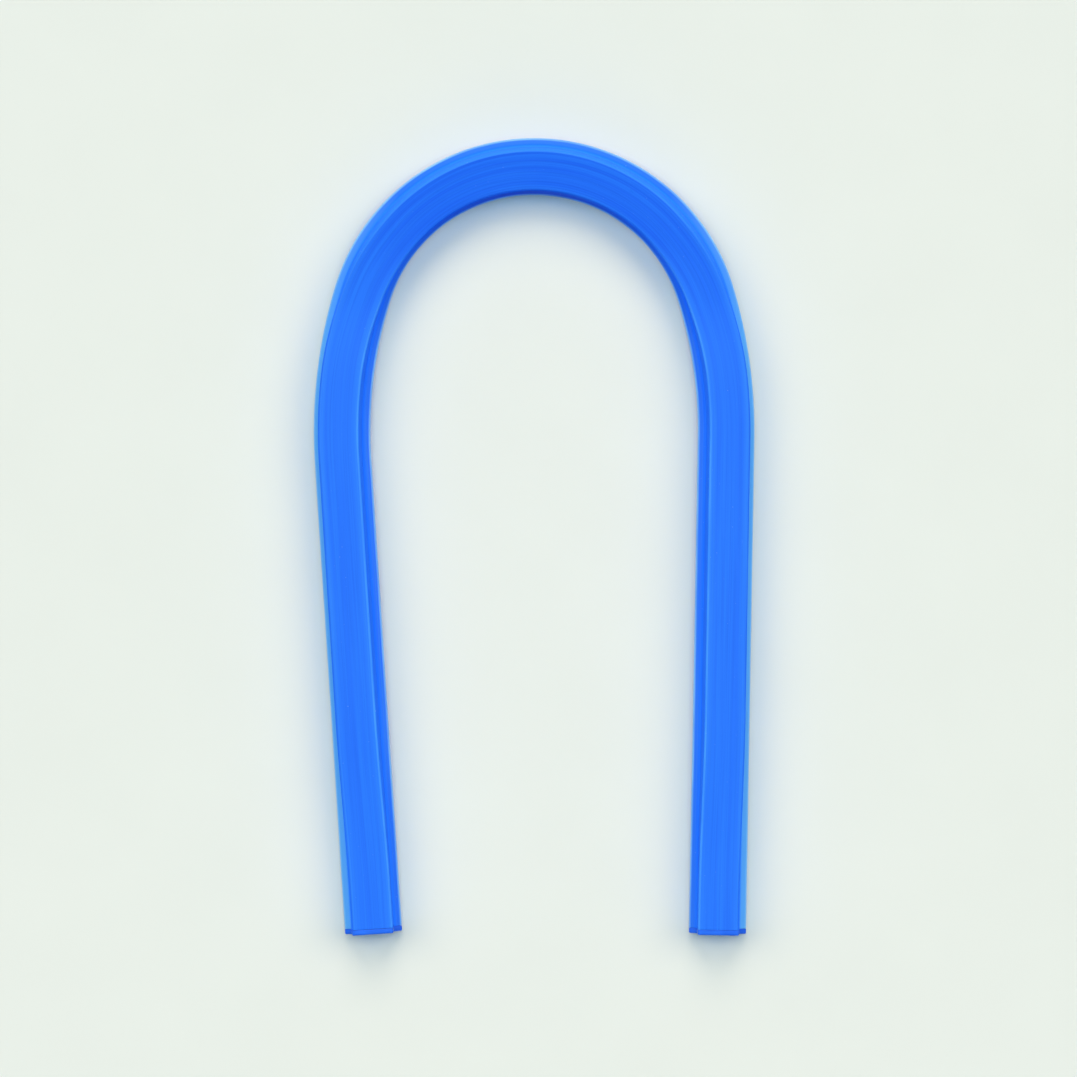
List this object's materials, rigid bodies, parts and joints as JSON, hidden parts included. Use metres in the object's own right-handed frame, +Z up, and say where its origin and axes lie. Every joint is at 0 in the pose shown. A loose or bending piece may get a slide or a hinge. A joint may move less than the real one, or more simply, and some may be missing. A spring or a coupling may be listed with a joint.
{
  "type": "flexible drawing curve",
  "caption": "Bendable drawing curve: a plastic strip with ledged edges over a lead and spring-steel core, set in a U shape.",
  "frame": {"origin": "underside of the strip at the crown of the U, on its centreline and halfway along its length", "axes": "+Z up out of the paper it lies on; +Y out of the crown, away from the legs; +X to the right seen from above with the crown at the top"},
  "size_m": [0.1012, 0.1829, 0.0085],
  "materials": {
    "blue_vinyl": "soft glossy extruded vinyl with fine lengthwise streaks",
    "end_plug": "soft glossy moulded vinyl",
    "lead": "dull grey oxidised soft metal",
    "spring_steel": "satin cold-rolled strip"
  },
  "bodies": {
    "middle_link": {"cover_middle": "blue_vinyl", "lead_bar_middle": "lead", "steel_strip_middle": "spring_steel"},
    "left_link_1": {"cover_left_1": "blue_vinyl", "lead_bar_left_1": "lead", "steel_strip_left_1": "spring_steel"},
    "left_link_2": {"cover_left_2": "blue_vinyl", "lead_bar_left_2": "lead", "steel_strip_left_2": "spring_steel"},
    "left_link_3": {"cover_left_3": "blue_vinyl", "lead_bar_left_3": "lead", "steel_strip_left_3": "spring_steel"},
    "left_link_4": {"cover_left_4": "blue_vinyl", "lead_bar_left_4": "lead", "steel_strip_left_4": "spring_steel"},
    "left_link_5": {"cover_left_5": "blue_vinyl", "lead_bar_left_5": "lead", "steel_strip_left_5": "spring_steel"},
    "left_link_6": {"cover_left_6": "blue_vinyl", "lead_bar_left_6": "lead", "steel_strip_left_6": "spring_steel"},
    "left_link_7": {"cover_left_7": "blue_vinyl", "lead_bar_left_7": "lead", "steel_strip_left_7": "spring_steel"},
    "left_link_8": {"cover_left_8": "blue_vinyl", "lead_bar_left_8": "lead", "steel_strip_left_8": "spring_steel"},
    "left_link_9": {"cover_left_9": "blue_vinyl", "lead_bar_left_9": "lead", "steel_strip_left_9": "spring_steel", "end_plug_left": "end_plug"},
    "right_link_1": {"cover_right_1": "blue_vinyl", "lead_bar_right_1": "lead", "steel_strip_right_1": "spring_steel"},
    "right_link_2": {"cover_right_2": "blue_vinyl", "lead_bar_right_2": "lead", "steel_strip_right_2": "spring_steel"},
    "right_link_3": {"cover_right_3": "blue_vinyl", "lead_bar_right_3": "lead", "steel_strip_right_3": "spring_steel"},
    "right_link_4": {"cover_right_4": "blue_vinyl", "lead_bar_right_4": "lead", "steel_strip_right_4": "spring_steel"},
    "right_link_5": {"cover_right_5": "blue_vinyl", "lead_bar_right_5": "lead", "steel_strip_right_5": "spring_steel"},
    "right_link_6": {"cover_right_6": "blue_vinyl", "lead_bar_right_6": "lead", "steel_strip_right_6": "spring_steel"},
    "right_link_7": {"cover_right_7": "blue_vinyl", "lead_bar_right_7": "lead", "steel_strip_right_7": "spring_steel"},
    "right_link_8": {"cover_right_8": "blue_vinyl", "lead_bar_right_8": "lead", "steel_strip_right_8": "spring_steel"},
    "right_link_9": {"cover_right_9": "blue_vinyl", "lead_bar_right_9": "lead", "steel_strip_right_9": "spring_steel", "end_plug_right": "end_plug"}
  },
  "joints": [
    {"name": "crown_bend_left_1", "type": "hinge", "parent": "middle_link", "child": "left_link_1", "pos_m": [-0.00581, -0.00041, 0.00425], "axis": [0, 0, 1], "range_deg": [-16, 4]},
    {"name": "crown_bend_left_2", "type": "hinge", "parent": "left_link_1", "child": "left_link_2", "pos_m": [-0.01698, -0.00366, 0.00425], "axis": [0, 0, 1], "range_deg": [-16, 4]},
    {"name": "crown_bend_left_3", "type": "hinge", "parent": "left_link_2", "child": "left_link_3", "pos_m": [-0.02679, -0.0099, 0.00425], "axis": [0, 0, 1], "range_deg": [-16, 4]},
    {"name": "crown_bend_left_4", "type": "hinge", "parent": "left_link_3", "child": "left_link_4", "pos_m": [-0.03447, -0.01863, 0.00425], "axis": [0, 0, 1], "range_deg": [-16, 4]},
    {"name": "shoulder_bend_left_1", "type": "hinge", "parent": "left_link_4", "child": "left_link_5", "pos_m": [-0.0394, -0.02915, 0.00425], "axis": [0, 0, -1], "range_deg": [-12, 12]},
    {"name": "shoulder_bend_left_2", "type": "hinge", "parent": "left_link_5", "child": "left_link_6", "pos_m": [-0.04339, -0.04821, 0.00425], "axis": [0, 0, -1], "range_deg": [-12, 12]},
    {"name": "shoulder_bend_left_3", "type": "hinge", "parent": "left_link_6", "child": "left_link_7", "pos_m": [-0.0439, -0.06768, 0.00425], "axis": [0, 0, -1], "range_deg": [-12, 12]},
    {"name": "leg_bend_left_1", "type": "hinge", "parent": "left_link_7", "child": "left_link_8", "pos_m": [-0.04156, -0.10378, 0.00425], "axis": [0, 0, -1], "range_deg": [-10, 10]},
    {"name": "leg_bend_left_2", "type": "hinge", "parent": "left_link_8", "child": "left_link_9", "pos_m": [-0.03923, -0.13987, 0.00425], "axis": [0, 0, -1], "range_deg": [-10, 10]},
    {"name": "crown_bend_right_1", "type": "hinge", "parent": "middle_link", "child": "right_link_1", "pos_m": [0.00581, -0.00041, 0.00425], "axis": [0, 0, -1], "range_deg": [-16, 4]},
    {"name": "crown_bend_right_2", "type": "hinge", "parent": "right_link_1", "child": "right_link_2", "pos_m": [0.01698, -0.00366, 0.00425], "axis": [0, 0, -1], "range_deg": [-16, 4]},
    {"name": "crown_bend_right_3", "type": "hinge", "parent": "right_link_2", "child": "right_link_3", "pos_m": [0.02679, -0.0099, 0.00425], "axis": [0, 0, -1], "range_deg": [-16, 4]},
    {"name": "crown_bend_right_4", "type": "hinge", "parent": "right_link_3", "child": "right_link_4", "pos_m": [0.03447, -0.01863, 0.00425], "axis": [0, 0, -1], "range_deg": [-16, 4]},
    {"name": "shoulder_bend_right_1", "type": "hinge", "parent": "right_link_4", "child": "right_link_5", "pos_m": [0.0394, -0.02915, 0.00425], "axis": [0, 0, 1], "range_deg": [-12, 12]},
    {"name": "shoulder_bend_right_2", "type": "hinge", "parent": "right_link_5", "child": "right_link_6", "pos_m": [0.04339, -0.04821, 0.00425], "axis": [0, 0, 1], "range_deg": [-12, 12]},
    {"name": "shoulder_bend_right_3", "type": "hinge", "parent": "right_link_6", "child": "right_link_7", "pos_m": [0.04401, -0.06768, 0.00425], "axis": [0, 0, 1], "range_deg": [-12, 12]},
    {"name": "leg_bend_right_1", "type": "hinge", "parent": "right_link_7", "child": "right_link_8", "pos_m": [0.04338, -0.10385, 0.00425], "axis": [0, 0, 1], "range_deg": [-10, 10]},
    {"name": "leg_bend_right_2", "type": "hinge", "parent": "right_link_8", "child": "right_link_9", "pos_m": [0.04275, -0.14001, 0.00425], "axis": [0, 0, 1], "range_deg": [-10, 10]}
  ]
}
